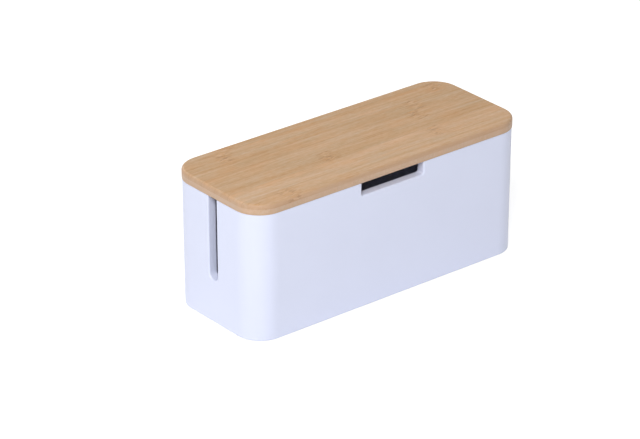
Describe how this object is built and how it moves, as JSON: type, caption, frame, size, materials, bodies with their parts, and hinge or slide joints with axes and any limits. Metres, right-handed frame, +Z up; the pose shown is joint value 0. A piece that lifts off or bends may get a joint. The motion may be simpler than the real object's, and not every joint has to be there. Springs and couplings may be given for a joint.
{
  "type": "cable management box",
  "caption": "Long rounded white plastic cable box with a lift-off bamboo board lid, a hand notch in the front wall and an upright cable slot in each end wall.",
  "frame": {"origin": "on the table under the middle of the box, in the plane of the feet", "axes": "+X along the box's length, -Y out of the front wall with the hand notch, +Z up through the lid"},
  "size_m": [0.34, 0.132, 0.145],
  "materials": {
    "shell_abs": "satin moulded white ABS",
    "plate_abs": "matt moulded white ABS with a fine spark texture",
    "screw_steel": "zinc plated",
    "foot_silicone": "matt translucent grey silicone",
    "bamboo_face": "carbonised bamboo under satin varnish",
    "bamboo_core": "bamboo end grain under satin varnish",
    "bamboo_back": "bamboo under thin matt varnish"
  },
  "bodies": {
    "box": {"base_plate": "plate_abs", "base_screws": "screw_steel", "body_shell": "shell_abs", "foot_back_left": "foot_silicone", "foot_back_right": "foot_silicone", "foot_front_left": "foot_silicone", "foot_front_right": "foot_silicone"},
    "lid": {"lid_back_stave_01": "bamboo_back", "lid_back_stave_02": "bamboo_back", "lid_back_stave_03": "bamboo_back", "lid_back_stave_04": "bamboo_back", "lid_back_stave_05": "bamboo_back", "lid_back_stave_06": "bamboo_back", "lid_back_stave_07": "bamboo_back", "lid_core_strip_01": "bamboo_core", "lid_core_strip_02": "bamboo_core", "lid_core_strip_03": "bamboo_core", "lid_core_strip_04": "bamboo_core", "lid_core_strip_05": "bamboo_core", "lid_core_strip_06": "bamboo_core", "lid_core_strip_07": "bamboo_core", "lid_core_strip_08": "bamboo_core", "lid_core_strip_09": "bamboo_core", "lid_core_strip_10": "bamboo_core", "lid_core_strip_11": "bamboo_core", "lid_core_strip_12": "bamboo_core", "lid_core_strip_13": "bamboo_core", "lid_core_strip_14": "bamboo_core", "lid_core_strip_15": "bamboo_core", "lid_core_strip_16": "bamboo_core", "lid_core_strip_17": "bamboo_core", "lid_face_stave_01": "bamboo_face", "lid_face_stave_02": "bamboo_face", "lid_face_stave_03": "bamboo_face", "lid_face_stave_04": "bamboo_face", "lid_face_stave_05": "bamboo_face", "lid_face_stave_06": "bamboo_face", "lid_face_stave_07": "bamboo_face"}
  },
  "joints": [
    {"name": "lid_lift", "type": "slide", "parent": "box", "child": "lid", "axis": [0, 0, 1], "range_m": [0, 0.15]}
  ]
}
